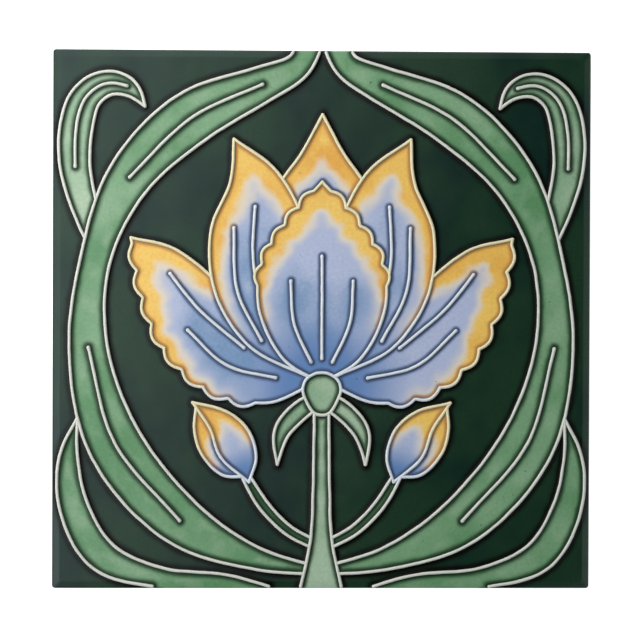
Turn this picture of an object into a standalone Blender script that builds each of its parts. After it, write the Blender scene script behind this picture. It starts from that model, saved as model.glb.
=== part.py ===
"""A pressed and glazed wall tile, six inches square, with a tube-lined art nouveau flower on its face.

The tile is one fired piece: the pressed clay body, its keyed back, its softly rounded rim and the raised
slip lines that hold the coloured glazes apart. It lies on its back, face up, with the drawing's upright
along +Y.
"""

import math

import bmesh
import bpy
from mathutils import Vector

MM = 0.001

# Driving dimensions of the body
SIDE = 152.4 * MM
BODY_THICKNESS = 9.0 * MM
CORNER_RADIUS = 0.85 * MM
RIM_WIDTH = 2.1 * MM
RIM_FALL = 0.20 * MM
RIM_ROUND = 0.58 * MM
FOOT_CHAMFER = 0.5 * MM
CORNER_STEPS = 5
RIM_STEPS = 4

# The key pressed into the back, so that the bedding grips
GROOVE_COUNT = 7
GROOVE_PITCH = 18.0 * MM
GROOVE_WIDTH = 9.0 * MM
GROOVE_LENGTH = 128.0 * MM
GROOVE_DEPTH = 0.8 * MM
GROOVE_DRAFT = 1.0 * MM

# The section of a raised slip line, which stops short of the tile's edge
SLIP_HEIGHT = 0.48 * MM
SLIP_ROOT = 0.30 * MM
SLIP_TOP_WIDTH = 0.60 * MM
SLIP_FOOT_WIDTH = 1.20 * MM
SLIP_EDGE_GAP = 0.45 * MM
SLIP_END_REACH = 0.40 * MM
SLIP_END_SCALE = 0.6
SLIP_JOIN_SCALE = 0.88
LONGEST_MITRE = 2.0

# In the drawing's millimetres: how finely its curves are read, how far a facet may lie from its curve, the
# shortest stretch of line that is worth piping, and how near to the upright a line counts as on it
CURVE_STEP = 0.5
FACET_TOLERANCE = 0.14
SHORTEST_LINE = 1.5
UPRIGHT_SLACK = 0.01
CROSSING_HALVINGS = 12
EASING_PASSES = 30

GLAZE_COLOUR = (0.025, 0.05, 0.04, 1.0)
GLAZE_ROUGHNESS = 0.12

# The drawing, in millimetres from the tile's centre. Both sides of the line X = 0 mirror each other, and only
# the right half is given here. A strap leaf is a spine, whose points hold X, Y and the leaf's half width.
ARCH_LEAF = [
    (2, -71, 1.2), (19, -67.5, 3.2), (40, -57, 6.8), (58.5, -35, 7.6), (66, -8, 5.4), (64, 17, 4.2),
    (54.5, 40, 6.2), (37, 57, 7.4), (17, 66.5, 5.0), (6.5, 72, 3.6), (3, 80, 3.4),
]
CORNER_LEAF = [
    (8, -81, 3.0), (26, -75, 2.6), (46, -73, 2.8), (62, -67, 4.4), (70, -53, 4.0), (71.5, -39, 2.6),
    (69, -28, 0),
]
CORNER_SCROLL = [
    (61, 14, 1.0), (66, 28, 3.2), (69.8, 43, 4.2), (69.4, 55, 4.6), (66.6, 63, 4.2), (60.3, 66.8, 3.5),
    (53.8, 65, 2.3), (50.2, 60, 0),
]
BUD_STEM = [(1, -64, 1.2), (9, -60, 1.3), (16.5, -52.5, 1.4), (20.5, -46, 1.2), (22.5, -42.5, 0.8)]
SEPAL = [(1, -22.5, 2.2), (6.5, -26, 2.6), (11.5, -32, 2.2), (12.5, -41, 0)]

# The sides of the other shapes
STEM = [(2, -22), (2.3, -45), (3, -62), (6.5, -79)]
CALYX = [
    (0, -15), (1.8, -15.2), (4.4, -16.9), (5.4, -19.8), (4.2, -23.4), (2.4, -26.2), (1.1, -26.9), (0, -27),
]
BUD_FRONT = [(20.5, -46), (18.5, -39), (21, -31), (27, -26), (36.5, -23.5)]
BUD_FRONT_FOLD = [(36.5, -23.5), (31.5, -31), (28.5, -39), (20.5, -46)]
BUD_BACK = [(22, -44.5), (28, -44), (34, -38), (36, -31), (35.5, -25)]
BUD_BACK_FOLD = [(35.5, -25), (30, -29), (25, -36), (22, -44.5)]
BACK_PETAL = [(0, 58), (6, 47), (13, 36), (12, 24)]
OUTER_PETAL_RIM = [(2, -18), (15, -23.5), (31, -20.5), (44, -9), (50.5, 6), (54, 23)]
OUTER_PETAL_FOLD = [(54, 23), (42, 20), (29, 10), (18, -2), (8, -12)]
INNER_PETAL_RIM = [(4, -16), (20, -8), (30, 7), (31.5, 25), (26, 39), (25, 51)]
INNER_PETAL_FOLD = [(25, 51), (13, 42), (5, 27), (0, 0)]
CENTRE_PETAL_RIM = [(0, -18), (11, -11), (18, 4), (16.5, 17), (8, 30), (0, 39)]

# Lines that end freely within a shape
ARCH_VEINS = ([(40, -57), (58.5, -35), (66, -8)], [(54.5, 40), (37, 57), (17, 66.5)])
SCROLL_VEINS = ([(69.8, 43), (69.4, 55), (66.6, 63), (60.3, 66.8), (55.2, 65.8)],)
OUTER_PETAL_VEINS = ([(13, -16.5), (27, -13), (38, -3)], [(22, -8), (35, 3), (43, 13)])
INNER_PETAL_VEINS = ([(17, -6), (24, 8), (25, 26)], [(16, 2), (19.5, 16), (19, 32)])
CENTRE_PETAL_VEINS = ([(0, -11), (0, 18)], [(3, -12), (8, -1), (8.8, 11)])

# The scallops along a petal's rim: how many, how deep, and the shares of the rim that they lie between
OUTER_PETAL_SCALLOPS = (8, 1.5, 0.22, 0.98)
CENTRE_PETAL_SCALLOPS = (5, 1.3, 0.50, 0.95)


def clear_scene():
    for thing in list(bpy.data.objects):
        bpy.data.objects.remove(thing, do_unlink=True)


def glazed_material():
    material = bpy.data.materials.new("bottle_green_glaze")
    material.use_nodes = True
    shader = material.node_tree.nodes["Principled BSDF"]
    shader.inputs["Base Color"].default_value = GLAZE_COLOUR
    shader.inputs["Roughness"].default_value = GLAZE_ROUGHNESS
    shader.inputs["Metallic"].default_value = 0.0
    return material


def rounded_square(half, corner, height):
    """The points of a square with round corners, anticlockwise, at one height."""
    points = []
    for quarter in range(4):
        middle = math.radians(45 + 90 * quarter)
        centre_x = math.copysign(half - corner, math.cos(middle))
        centre_y = math.copysign(half - corner, math.sin(middle))
        for step in range(CORNER_STEPS + 1):
            angle = math.radians(90 * (quarter + step / CORNER_STEPS))
            x = centre_x + corner * math.cos(angle)
            y = centre_y + corner * math.sin(angle)
            points.append(Vector((x, y, height)))
    return points


def rim_section():
    """Pairs of inset and height up the tile's side: chamfered foot, upright edge, round, and sloping rim."""
    section = [(FOOT_CHAMFER, 0.0), (0.0, FOOT_CHAMFER)]
    for step in range(RIM_STEPS + 1):
        angle = math.radians(90 * step / RIM_STEPS)
        inset = RIM_ROUND * (1 - math.cos(angle))
        section.append((inset, BODY_THICKNESS - RIM_FALL - RIM_ROUND * (1 - math.sin(angle))))
    section.append((RIM_WIDTH, BODY_THICKNESS))
    return section


def add_body():
    mesh = bpy.data.meshes.new("tile")
    bm = bmesh.new()
    rings = []
    for inset, height in rim_section():
        outline = rounded_square(SIDE / 2 - inset, CORNER_RADIUS, height)
        rings.append([bm.verts.new(point) for point in outline])
    for lower, upper in zip(rings, rings[1:]):
        for i in range(len(lower)):
            following = (i + 1) % len(lower)
            bm.faces.new((lower[i], lower[following], upper[following], upper[i]))
    bm.faces.new(reversed(rings[0]))
    bm.faces.new(rings[-1])
    bm.to_mesh(mesh)
    bm.free()
    body = bpy.data.objects.new("tile", mesh)
    bpy.context.scene.collection.objects.link(body)
    return body


def add_guide(name, mesh):
    """An object that only shapes the tile, and isn't a piece itself."""
    guide = bpy.data.objects.new(name, mesh)
    guide.hide_render = True
    guide.display_type = "WIRE"
    bpy.context.scene.collection.objects.link(guide)
    return guide


def add_groove_cutter():
    """The shallow parallel grooves, with sloping walls, as one cutter."""
    mesh = bpy.data.meshes.new("back_grooves")
    bm = bmesh.new()
    for i in range(GROOVE_COUNT):
        centre_y = (i - (GROOVE_COUNT - 1) / 2) * GROOVE_PITCH
        made = bmesh.ops.create_cube(bm, size=1.0)["verts"]
        for corner in made:
            at_roof = corner.co.z > 0
            taper = GROOVE_DRAFT if at_roof else -GROOVE_DRAFT
            corner.co.x *= GROOVE_LENGTH - taper
            corner.co.y = centre_y + corner.co.y * (GROOVE_WIDTH - taper)
            corner.co.z = GROOVE_DEPTH if at_roof else -GROOVE_DEPTH
    bm.to_mesh(mesh)
    bm.free()
    return add_guide("back_grooves", mesh)


def smooth_curve(knots):
    """Points about CURVE_STEP apart on a smooth curve through the knots, which may hold a half width too."""
    knots = [Vector(knot) for knot in knots]
    knots.insert(0, knots[0] * 2 - knots[1])
    knots.append(knots[-1] * 2 - knots[-2])
    curve = []
    for before, start, end, after in zip(knots, knots[1:], knots[2:], knots[3:]):
        at_start = math.sqrt((start - before).length)
        at_end = at_start + math.sqrt((end - start).length)
        at_after = at_end + math.sqrt((after - end).length)
        steps = max(1, round((end - start).length / CURVE_STEP))
        for step in range(steps):
            share = step / steps
            at = at_start + (at_end - at_start) * share
            coming = before.lerp(start, at / at_start)
            passing = start.lerp(end, share)
            leaving = end.lerp(after, (at - at_end) / (at_after - at_end))
            early = coming.lerp(passing, at / at_end)
            late = passing.lerp(leaving, (at - at_start) / (at_after - at_start))
            curve.append(early.lerp(late, share))
    curve.append(knots[-2])
    return curve


def across_at(line, i):
    """The unit vector that points to the left of a line at its point i."""
    along = line[min(i + 1, len(line) - 1)].xy - line[max(i - 1, 0)].xy
    return Vector((-along.y, along.x)).normalized()


def joined(first, second):
    """Two strokes as one, with a single point where they meet."""
    meet = (first[-1] - second[0]).length < CURVE_STEP / 2
    return first + second[1:] if meet else first + second


def eased(line):
    """The line with its kinks rounded off and its two ends kept."""
    for easing in range(EASING_PASSES):
        middle = [(before + point * 2 + after) / 4 for before, point, after in zip(line, line[1:], line[2:])]
        line = [line[0], *middle, line[-1]]
    return line


def strap(spine):
    """The outline of a strap leaf: up its left side, then down its right."""
    middle = smooth_curve(spine)
    left = [point.xy + across_at(middle, i) * point.z for i, point in enumerate(middle)]
    right = [point.xy - across_at(middle, i) * point.z for i, point in enumerate(middle)]
    return joined(eased(left), eased(right)[::-1])


def scalloped(line, count, depth, start, end):
    """The line with scallops that bulge to its right, between two shares of its length."""
    lengths = [0.0]
    for here, there in zip(line, line[1:]):
        lengths.append(lengths[-1] + (there - here).length)
    rim = []
    for i, point in enumerate(line):
        share = (lengths[i] / lengths[-1] - start) / (end - start)
        bulge = depth * abs(math.sin(math.pi * count * share)) if 0 < share < 1 else 0.0
        rim.append(point - across_at(line, i) * bulge)
    return rim


def petal(rim, fold):
    """The outline of a petal, out along its rim and back along its fold."""
    return joined(smooth_curve(rim), smooth_curve(fold))


def drawing():
    """The right half's shapes from back to front: an outline, whether it closes on itself, and its veins."""
    outer_petal = scalloped(smooth_curve(OUTER_PETAL_RIM), *OUTER_PETAL_SCALLOPS)
    outer_petal = joined(outer_petal, smooth_curve(OUTER_PETAL_FOLD))
    centre_petal = scalloped(smooth_curve(CENTRE_PETAL_RIM), *CENTRE_PETAL_SCALLOPS)
    return [
        (strap(CORNER_SCROLL), True, SCROLL_VEINS),
        (strap(CORNER_LEAF), True, ()),
        (strap(ARCH_LEAF), True, ARCH_VEINS),
        (strap(BUD_STEM), True, ()),
        (petal(BUD_BACK, BUD_BACK_FOLD), True, ()),
        (petal(BUD_FRONT, BUD_FRONT_FOLD), True, ()),
        (smooth_curve(STEM), False, ()),
        (strap(SEPAL), True, ()),
        (smooth_curve(BACK_PETAL), False, ()),
        (outer_petal, True, OUTER_PETAL_VEINS),
        (petal(INNER_PETAL_RIM, INNER_PETAL_FOLD), True, INNER_PETAL_VEINS),
        (centre_petal, False, CENTRE_PETAL_VEINS),
        (smooth_curve(CALYX), False, ()),
    ]


def filled(outline, closed):
    """The area of a shape. The half of one that stands on the upright reaches to it."""
    if closed:
        return outline
    return outline + [Vector((0, outline[-1].y)), Vector((0, outline[0].y))]


def lies_in(point, area):
    inside = False
    for start, end in zip(area, area[1:] + area[:1]):
        if (start.y > point.y) != (end.y > point.y):
            crossing = start.x + (point.y - start.y) * (end.x - start.x) / (end.y - start.y)
            if crossing > point.x:
                inside = not inside
    return inside


def shows(point, covers):
    """Whether a point of the drawing is on the tile's right half, with no later shape over it."""
    reach = (SIDE / 2 - SLIP_EDGE_GAP) / MM
    if point.x < -UPRIGHT_SLACK / 2 or max(point.x, abs(point.y)) > reach:
        return False
    return not any(lies_in(point, cover) for cover in covers)


def border_between(shown, hidden, covers):
    """The place between two points of a line where it goes under a later shape, or off the half."""
    for halving in range(CROSSING_HALVINGS):
        middle = (shown + hidden) / 2
        if shows(middle, covers):
            shown = middle
        else:
            hidden = middle
    return shown


def visible_runs(line, closed, covers):
    """The stretches of a line that show, each with whether its first and its last end are free."""
    hidden = [i for i, point in enumerate(line) if not shows(point, covers)]
    if closed and hidden:
        line = line[hidden[0]:] + line[:hidden[0] + 1]
    runs = []
    run = []
    starts_free = True
    for i, point in enumerate(line):
        if shows(point, covers):
            if not run and i > 0:
                run.append(border_between(point, line[i - 1], covers))
                starts_free = False
            run.append(point)
        elif run:
            run.append(border_between(run[-1], point, covers))
            runs.append((run, starts_free, False))
            run = []
    if run:
        runs.append((run, starts_free, True))
    return runs


def on_both_halves(run, starts_free, ends_free):
    """The run and its mirror image. They are one line where the run reaches the upright, and a ring if it
    does so at both ends."""
    image = [Vector((-point.x, point.y)) for point in run]
    starts_there, ends_there = (abs(run[end].x) < UPRIGHT_SLACK for end in (0, -1))
    if starts_there and ends_there:
        ring = max(point.x for point in run) > UPRIGHT_SLACK
        return [(run + image[-2:0:-1], True, False, False) if ring else (run, False, starts_free, ends_free)]
    if starts_there:
        return [(image[:0:-1] + run, False, ends_free, ends_free)]
    if ends_there:
        return [(run + image[-2::-1], False, starts_free, starts_free)]
    return [(run, False, starts_free, ends_free), (image, False, starts_free, ends_free)]


def slip_lines():
    """Every line to pipe: its points, whether it is a ring, and whether its two ends are free."""
    shapes = drawing()
    lines = []
    for level, (outline, closed, veins) in enumerate(shapes):
        covers = [filled(later, whole) for later, whole, unused in shapes[level + 1:]]
        strokes = [(outline, closed)] + [(eased(smooth_curve(vein)), False) for vein in veins]
        for line, whole in strokes:
            if whole and all(shows(point, covers) for point in line):
                lines.append((line, True, False, False))
                lines.append(([Vector((-point.x, point.y)) for point in line], True, False, False))
                continue
            for run, starts_free, ends_free in visible_runs(line, whole, covers):
                if sum((there - here).length for here, there in zip(run, run[1:])) > SHORTEST_LINE:
                    lines += on_both_halves(run, starts_free, ends_free)
    return lines


def distance_to_chord(point, start, end):
    chord = end - start
    if chord.length == 0:
        return (point - start).length
    share = (point - start).dot(chord) / chord.length_squared
    return (point - start - chord * min(max(share, 0), 1)).length


def thinned(line):
    """The points that keep the line near its curve: the farthest from the chord stays, and so on each side."""
    distances = [distance_to_chord(point, line[0], line[-1]) for point in line]
    farthest = distances.index(max(distances))
    if distances[farthest] < FACET_TOLERANCE * MM:
        return [line[0], line[-1]]
    return thinned(line[:farthest + 1])[:-1] + thinned(line[farthest:])


def glaze_height(point):
    """How high the glazed face lies at a place: it falls a little on the rim, then rounds off."""
    inset = SIDE / 2 - max(abs(point.x), abs(point.y))
    on_slope = min(max(0.0, (RIM_WIDTH - inset) / (RIM_WIDTH - RIM_ROUND)), 1.0)
    on_round = max(0.0, 1 - inset / RIM_ROUND)
    return BODY_THICKNESS - RIM_FALL * on_slope - RIM_ROUND * (1 - math.sqrt(1 - on_round ** 2))


def add_section(bm, before, centre, after, scale):
    """A slip line's section at one of its points, mitred between its neighbours, its foot under the glaze."""
    coming = (centre - before).xy.normalized()
    going = (after - centre).xy.normalized()
    along = (coming + going).normalized()
    mitre = min(1 / max(along.dot(coming), along.dot(going)), LONGEST_MITRE)
    across = Vector((-along.y, along.x, 0)) * mitre * scale
    limit = SIDE / 2 - SLIP_EDGE_GAP / 2
    corners = []
    for side, width, rise in (
        (-1, SLIP_FOOT_WIDTH, -SLIP_ROOT), (1, SLIP_FOOT_WIDTH, -SLIP_ROOT),
        (1, SLIP_TOP_WIDTH, SLIP_HEIGHT * scale), (-1, SLIP_TOP_WIDTH, SLIP_HEIGHT * scale),
    ):
        place = centre + across * (side * width / 2)
        x = min(max(place.x, -limit), limit)
        y = min(max(place.y, -limit), limit)
        corners.append(bm.verts.new((x, y, centre.z + rise)))
    return corners


def add_slip_line(bm, line, ring, starts_free, ends_free):
    """One raised line. A free end is rounded off, and the others stop within the line that they meet."""
    line = [point.to_3d() * MM for point in line]
    for point in line:
        point.z = glaze_height(point)
    if ring:
        line = thinned(line + line[:1])[:-1]
    else:
        line = thinned(line)
    scales = [1.0] * len(line)
    if not ring:
        scales[0] = scales[-1] = SLIP_JOIN_SCALE
    if starts_free:
        line.insert(0, line[0] + (line[0] - line[1]).normalized() * SLIP_END_REACH)
        scales.insert(0, SLIP_END_SCALE)
    if ends_free:
        line.append(line[-1] + (line[-1] - line[-2]).normalized() * SLIP_END_REACH)
        scales.append(SLIP_END_SCALE)
    sections = []
    for i, point in enumerate(line):
        before = line[i - 1] if i > 0 or ring else point
        after = line[(i + 1) % len(line)] if i + 1 < len(line) or ring else point
        sections.append(add_section(bm, before, point, after, scales[i]))
    if ring:
        sections.append(sections[0])
    else:
        bm.faces.new(reversed(sections[0]))
        bm.faces.new(sections[-1])
    for near, far in zip(sections, sections[1:]):
        for i in range(len(near)):
            following = (i + 1) % len(near)
            bm.faces.new((near[i], near[following], far[following], far[i]))


def add_slip_lines():
    """Every raised line of the drawing, in one mesh."""
    mesh = bpy.data.meshes.new("slip_lines")
    bm = bmesh.new()
    for line, ring, starts_free, ends_free in slip_lines():
        add_slip_line(bm, line, ring, starts_free, ends_free)
    bmesh.ops.triangulate(bm, faces=bm.faces)
    bmesh.ops.recalc_face_normals(bm, faces=bm.faces)
    bm.to_mesh(mesh)
    bm.free()
    return add_guide("slip_lines", mesh)


def combine(body, other, operation):
    boolean = body.modifiers.new(other.name, "BOOLEAN")
    boolean.object = other
    boolean.operation = operation
    boolean.solver = "EXACT"
    boolean.use_self = operation == "UNION"


def main():
    clear_scene()
    tile = add_body()
    combine(tile, add_groove_cutter(), "DIFFERENCE")
    combine(tile, add_slip_lines(), "UNION")
    tile.data.materials.append(glazed_material())


main()
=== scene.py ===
"""The looks of a tube-lined wall tile: coloured glazes between raised slip lines, on a pressed and fired clay body."""

import math
import random

import bmesh
import bpy
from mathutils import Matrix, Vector, noise
from mathutils.kdtree import KDTree


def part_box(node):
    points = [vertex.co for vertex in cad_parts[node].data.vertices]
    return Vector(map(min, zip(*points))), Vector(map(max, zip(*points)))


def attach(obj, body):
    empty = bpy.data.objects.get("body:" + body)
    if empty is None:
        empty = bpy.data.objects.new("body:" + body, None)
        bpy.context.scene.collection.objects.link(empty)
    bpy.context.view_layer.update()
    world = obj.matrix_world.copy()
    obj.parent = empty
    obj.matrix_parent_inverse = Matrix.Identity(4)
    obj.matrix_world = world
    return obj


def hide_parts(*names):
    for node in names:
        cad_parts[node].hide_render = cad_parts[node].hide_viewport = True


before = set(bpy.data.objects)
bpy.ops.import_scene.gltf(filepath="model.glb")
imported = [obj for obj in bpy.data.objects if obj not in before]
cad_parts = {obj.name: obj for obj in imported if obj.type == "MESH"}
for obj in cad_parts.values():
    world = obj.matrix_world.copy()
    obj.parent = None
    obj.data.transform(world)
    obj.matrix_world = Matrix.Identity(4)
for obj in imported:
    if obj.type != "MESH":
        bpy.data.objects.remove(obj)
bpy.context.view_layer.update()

MM = 0.001
TILE_LOW, TILE_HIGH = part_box("tile")

# Sizes of the fired body, in metres
SIDE = TILE_HIGH.x - TILE_LOW.x
SLIP_HEIGHT = 0.48 * MM
FACE_HEIGHT = TILE_HIGH.z - SLIP_HEIGHT
CORNER_RADIUS = 0.85 * MM
RIM_WIDTH = 2.1 * MM
RIM_FALL = 0.20 * MM
RIM_ROUND = 0.58 * MM
RIM_DROP = RIM_FALL + RIM_ROUND
FOOT_CHAMFER = 0.5 * MM
CORNER_STEPS = 6
RIM_STEPS = 5
SLOPE_STEPS = 4
SIDE_CUTS = (61, 1)

# The key in the back
GROOVE_COUNT = 7
GROOVE_PITCH = 18.0 * MM
GROOVE_WIDTH = 9.0 * MM
GROOVE_LENGTH = 128.0 * MM
GROOVE_DEPTH = 0.8 * MM
GROOVE_DRAFT = 1.0 * MM
GROOVE_SOFTNESS = 0.25 * MM

# The trailed slip: a round line that lies a little over half proud of the glaze
SLIP_RADIUS = 0.48 * MM
SLIP_EDGE_GAP = 0.65 * MM
SLIP_SIDES = 3
SLIP_WAVER = 0.10
SLIP_GRIP = 0.06
SLIP_WANDER = 0.09
TRAIL_STEP = 1.9
SLIP_BLOB = 1.30
CORNER_BLOB = 1.08

# In the drawing's millimetres
CURVE_STEP = 0.5
TRAIL_TOLERANCE = 0.02
SHORTEST_LINE = 1.5
UPRIGHT_SLACK = 0.01
CROSSING_HALVINGS = 12
EASING = 30
SHARP_TURN = math.radians(50)

# How far from a line the glazed face is made finer, and how its surface rises to a line
FINE_BAND = 1.65
MENISCUS_HEIGHT = 0.10
MENISCUS_START = 0.35
MENISCUS_REACH = 0.30
FAR_FROM_LINES = 12.0

# The drawing, in millimetres from the tile's centre. Both sides of the line X = 0 mirror each other, and only the
# right half is given here. A strap leaf is a spine, whose points hold X, Y and the leaf's half width.
ARCH_LEAF = [
    (2, -71, 1.2), (19, -67.5, 3.2), (40, -57, 6.8), (58.5, -35, 7.6), (66, -8, 5.4), (64, 17, 4.2),
    (54.5, 40, 6.2), (37, 57, 7.4), (17, 66.5, 5.0), (6.5, 72, 3.6), (3, 80, 3.4),
]
CORNER_LEAF = [
    (8, -81, 3.0), (26, -75, 2.6), (46, -73, 2.8), (62, -67, 4.4), (70, -53, 4.0), (71.5, -39, 2.6), (69, -28, 0),
]
CORNER_SCROLL = [
    (61, 14, 1.0), (66, 28, 3.2), (69.8, 43, 4.2), (69.4, 55, 4.6), (66.6, 63, 4.2), (60.3, 66.8, 3.5),
    (53.8, 65, 2.3), (50.2, 60, 0),
]
BUD_STEM = [(1, -64, 1.2), (9, -60, 1.3), (16.5, -52.5, 1.4), (20.5, -46, 1.2), (22.5, -42.5, 0.8)]
SEPAL = [(1, -22.5, 2.2), (6.5, -26, 2.6), (11.5, -32, 2.2), (12.5, -41, 0)]

# The sides of the other shapes
STEM = [(2, -22), (2.3, -45), (3, -62), (6.5, -79)]
CALYX = [(0, -15), (1.8, -15.2), (4.4, -16.9), (5.4, -19.8), (4.2, -23.4), (2.4, -26.2), (1.1, -26.9), (0, -27)]
BUD_FRONT = [(20.5, -46), (18.5, -39), (21, -31), (27, -26), (36.5, -23.5)]
BUD_FRONT_FOLD = [(36.5, -23.5), (31.5, -31), (28.5, -39), (20.5, -46)]
BUD_BACK = [(22, -44.5), (28, -44), (34, -38), (36, -31), (35.5, -25)]
BUD_BACK_FOLD = [(35.5, -25), (30, -29), (25, -36), (22, -44.5)]
BACK_PETAL = [(0, 58), (6, 47), (13, 36), (12, 24)]
OUTER_PETAL_RIM = [(2, -18), (15, -23.5), (31, -20.5), (44, -9), (50.5, 6), (54, 23)]
OUTER_PETAL_FOLD = [(54, 23), (42, 20), (29, 10), (18, -2), (8, -12)]
INNER_PETAL_RIM = [(4, -16), (20, -8), (30, 7), (31.5, 25), (26, 39), (25, 51)]
INNER_PETAL_FOLD = [(25, 51), (13, 42), (5, 27), (0, 0)]
CENTRE_PETAL_RIM = [(0, -18), (11, -11), (18, 4), (16.5, 17), (8, 30), (0, 39)]

# Lines that end freely within a shape
ARCH_VEINS = ([(40, -57), (58.5, -35), (66, -8)], [(54.5, 40), (37, 57), (17, 66.5)])
SCROLL_VEINS = ([(69.8, 43), (69.4, 55), (66.6, 63), (60.3, 66.8), (55.2, 65.8)],)
OUTER_PETAL_VEINS = ([(13, -16.5), (27, -13), (38, -3)], [(22, -8), (35, 3), (43, 13)])
INNER_PETAL_VEINS = ([(17, -6), (24, 8), (25, 26)], [(16, 2), (19.5, 16), (19, 32)])
CENTRE_PETAL_VEINS = ([(0, -11), (0, 18)], [(3, -12), (8, -1), (8.8, 11)])

# The scallops along a petal's rim: how many, how deep, and the shares of the rim that they lie between
OUTER_PETAL_SCALLOPS = (8, 1.5, 0.22, 0.98)
CENTRE_PETAL_SCALLOPS = (5, 1.3, 0.50, 0.95)

# Where the petals spring from
FLOWER_HEART = Vector((0, -18))
BUD_HEART = Vector((20.5, -46))

# The body's material slots, in order
GROUND, LEAF, LIGHT, PETAL, BARE = range(5)


def hold(piece):
    """Make a piece the only selected and the active one."""
    bpy.ops.object.select_all(action="DESELECT")
    piece.select_set(True)
    bpy.context.view_layer.objects.active = piece


def pick(piece, kind, wanted):
    """In edit mode, select just the vertices, edges or faces that are wanted."""
    mesh = bmesh.from_edit_mesh(piece.data)
    bpy.ops.mesh.select_all(action="DESELECT")
    picked = 0
    for part in getattr(mesh, kind):
        if wanted(part):
            part.select_set(True)
            picked += 1
    mesh.select_flush_mode()
    bmesh.update_edit_mesh(piece.data)
    return picked


def keep_modifier(piece, name):
    hold(piece)
    bpy.ops.object.modifier_apply(modifier=name)


def smooth_curve(knots):
    """Points about CURVE_STEP apart on a smooth curve through the knots, which may hold a half width too."""
    knots = [Vector(knot) for knot in knots]
    knots.insert(0, knots[0] * 2 - knots[1])
    knots.append(knots[-1] * 2 - knots[-2])
    curve = []
    for before, start, end, after in zip(knots, knots[1:], knots[2:], knots[3:]):
        at_start = math.sqrt((start - before).length)
        at_end = at_start + math.sqrt((end - start).length)
        at_after = at_end + math.sqrt((after - end).length)
        steps = max(1, round((end - start).length / CURVE_STEP))
        for step in range(steps):
            share = step / steps
            at = at_start + (at_end - at_start) * share
            coming = before.lerp(start, at / at_start)
            passing = start.lerp(end, share)
            leaving = end.lerp(after, (at - at_end) / (at_after - at_end))
            early = coming.lerp(passing, at / at_end)
            late = passing.lerp(leaving, (at - at_start) / (at_after - at_start))
            curve.append(early.lerp(late, share))
    curve.append(knots[-2])
    return curve


def across_at(line, i):
    """The unit vector that points to the left of a line at its point i."""
    along = line[min(i + 1, len(line) - 1)].xy - line[max(i - 1, 0)].xy
    return Vector((-along.y, along.x)).normalized()


def joined(first, second):
    """Two strokes as one, with a single point where they meet."""
    meet = (first[-1] - second[0]).length < CURVE_STEP / 2
    return first + second[1:] if meet else first + second


def eased(line):
    """The line with its kinks rounded off and its two ends kept."""
    for ease in range(EASING):
        middle = [(before + point * 2 + after) / 4 for before, point, after in zip(line, line[1:], line[2:])]
        line = [line[0], *middle, line[-1]]
    return line


def strap(spine):
    """The outline of a strap leaf: up its left side, then down its right."""
    middle = smooth_curve(spine)
    left = [point.xy + across_at(middle, i) * point.z for i, point in enumerate(middle)]
    right = [point.xy - across_at(middle, i) * point.z for i, point in enumerate(middle)]
    return joined(eased(left), eased(right)[::-1])


def petal(rim, fold):
    return joined(smooth_curve(rim), smooth_curve(fold))


def scalloped(line, count, depth, start, end):
    """The line with scallops that bulge to its right, between two shares of its length."""
    lengths = [0.0]
    for here, there in zip(line, line[1:]):
        lengths.append(lengths[-1] + (there - here).length)
    rim = []
    for i, point in enumerate(line):
        share = (lengths[i] / lengths[-1] - start) / (end - start)
        bulge = depth * abs(math.sin(math.pi * count * share)) if 0 < share < 1 else 0.0
        rim.append(point - across_at(line, i) * bulge)
    return rim


def drawing():
    """The right half's shapes from back to front: outline, whether it closes on itself, veins, and glaze."""
    outer_rim = scalloped(smooth_curve(OUTER_PETAL_RIM), *OUTER_PETAL_SCALLOPS)
    centre_petal = scalloped(smooth_curve(CENTRE_PETAL_RIM), *CENTRE_PETAL_SCALLOPS)
    return [
        (strap(CORNER_SCROLL), True, SCROLL_VEINS, LIGHT),
        (strap(CORNER_LEAF), True, (), LEAF),
        (strap(ARCH_LEAF), True, ARCH_VEINS, LEAF),
        (strap(BUD_STEM), True, (), LEAF),
        (petal(BUD_BACK, BUD_BACK_FOLD), True, (), PETAL),
        (petal(BUD_FRONT, BUD_FRONT_FOLD), True, (), PETAL),
        (smooth_curve(STEM), False, (), LIGHT),
        (strap(SEPAL), True, (), LIGHT),
        (smooth_curve(BACK_PETAL), False, (), PETAL),
        (joined(outer_rim, smooth_curve(OUTER_PETAL_FOLD)), True, OUTER_PETAL_VEINS, PETAL),
        (petal(INNER_PETAL_RIM, INNER_PETAL_FOLD), True, INNER_PETAL_VEINS, PETAL),
        (centre_petal, False, CENTRE_PETAL_VEINS, PETAL),
        (smooth_curve(CALYX), False, (), LIGHT),
    ]


def filled(outline, closed):
    """The area of a shape. The half of one that stands on the upright reaches to it."""
    if closed:
        return outline
    return outline + [Vector((0, outline[-1].y)), Vector((0, outline[0].y))]


class Area:
    """A shape's area, with the box around it."""

    def __init__(self, outline):
        self.outline = outline
        self.low = Vector((min(point.x for point in outline), min(point.y for point in outline)))
        self.high = Vector((max(point.x for point in outline), max(point.y for point in outline)))

    def holds(self, point):
        if not (self.low.x <= point.x <= self.high.x and self.low.y <= point.y <= self.high.y):
            return False
        inside = False
        start = self.outline[-1]
        for end in self.outline:
            if (start.y > point.y) != (end.y > point.y):
                if start.x + (point.y - start.y) * (end.x - start.x) / (end.y - start.y) > point.x:
                    inside = not inside
            start = end
        return inside


def shows(point, covers):
    """Whether a point of the drawing is on the tile's right half, with no later shape over it."""
    reach = (SIDE / 2 - SLIP_EDGE_GAP) / MM
    if point.x < -UPRIGHT_SLACK / 2 or max(point.x, abs(point.y)) > reach:
        return False
    return not any(cover.holds(point) for cover in covers)


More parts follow.
